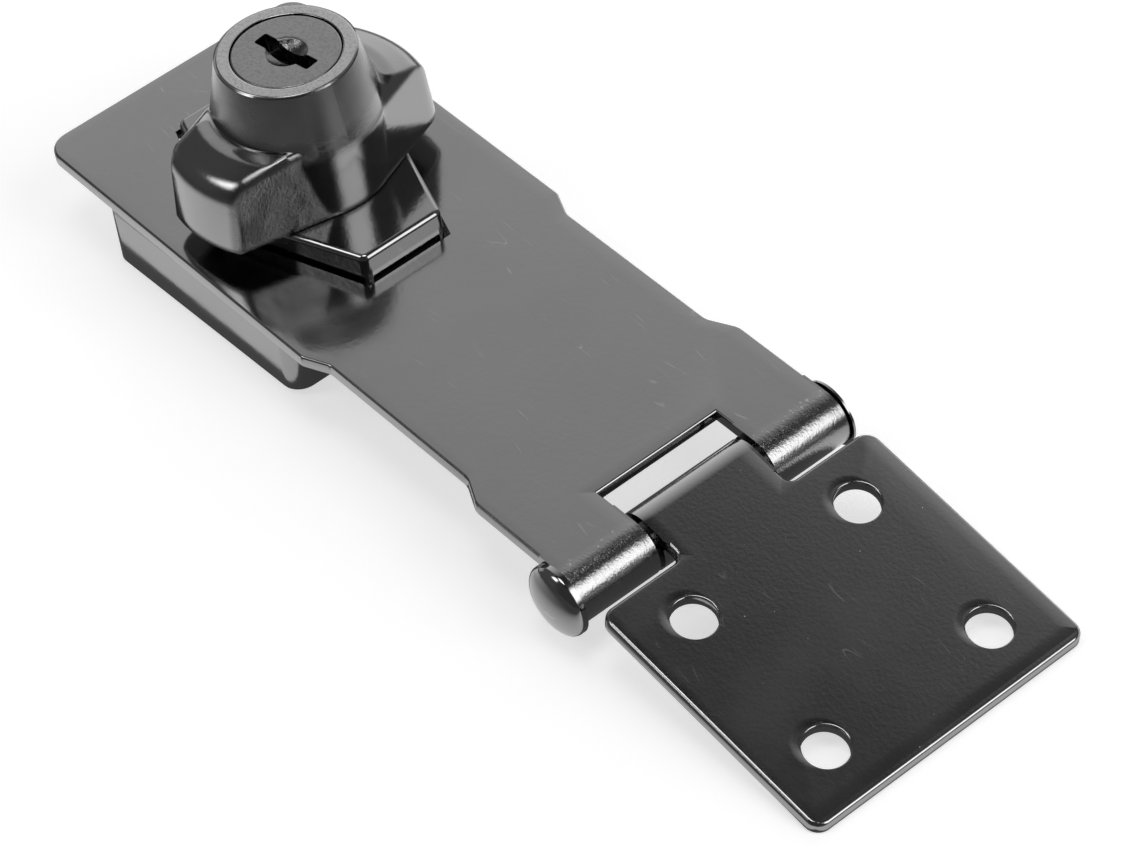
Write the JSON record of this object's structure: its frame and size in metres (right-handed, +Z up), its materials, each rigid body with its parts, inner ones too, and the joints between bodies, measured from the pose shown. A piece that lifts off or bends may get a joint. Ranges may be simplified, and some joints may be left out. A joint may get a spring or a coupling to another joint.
{
  "type": "door latch",
  "caption": "Keyed twist-knob hasp: a strap hinged to a screw-on leaf closes over a die-cast base, where a winged knob with a key plug holds it.",
  "frame": {"origin": "lock axis on the underside of the lock base", "axes": "+X from the lock axis to the hinge and its leaf, +Y across the strap, +Z up along the lock axis to the key's end"},
  "size_m": [0.1136, 0.0355, 0.0282],
  "materials": {
    "strap_plate": "polished black nickel",
    "leaf_plate": "polished black nickel",
    "pin_metal": "polished black nickel",
    "base_casting": "satin plated casting",
    "knob_casting": "polished black nickel casting",
    "plug_metal": "polished plated casting",
    "bolt_steel": "satin",
    "spring_steel": "satin",
    "wafer_brass": "satin"
  },
  "bodies": {
    "hasp": {"hasp_strap": "strap_plate", "hinge_pin": "pin_metal", "lock_base": "base_casting"},
    "leaf": {"hinge_leaf": "leaf_plate"},
    "knob": {"turn_knob": "knob_casting", "stem_washer": "spring_steel", "stem_ring": "spring_steel"},
    "plug": {"lock_plug": "plug_metal", "wafer_1": "wafer_brass", "wafer_2": "wafer_brass", "wafer_3": "wafer_brass", "wafer_4": "wafer_brass", "wafer_5": "wafer_brass", "wafer_spring_1": "spring_steel", "wafer_spring_2": "spring_steel", "wafer_spring_3": "spring_steel", "wafer_spring_4": "spring_steel", "wafer_spring_5": "spring_steel", "plug_clip": "spring_steel"},
    "bolt": {"locking_bolt": "bolt_steel"}
  },
  "joints": [
    {"name": "leaf_hinge", "type": "hinge", "parent": "hasp", "child": "leaf", "pos_m": [0.05643, 0.0003, 0.00298], "axis": [0, 1, 0], "range_deg": [-120, 168]},
    {"name": "knob_turn", "type": "hinge", "parent": "hasp", "child": "knob", "pos_m": [0, 0, 0], "axis": [0, 0, 1], "range_deg": [0, 90]},
    {"name": "plug_turn", "type": "hinge", "parent": "knob", "child": "plug", "pos_m": [0, 0, 0], "axis": [0, 0, 1], "range_deg": [0, 90]},
    {"name": "bolt_slide", "type": "slide", "parent": "knob", "child": "bolt", "axis": [1, 0, 0], "range_m": [0, 0.0015]}
  ],
  "couplings": [
    {"joint": "bolt_slide", "follows": "plug_turn", "m_per_rad": 0.000954}
  ]
}
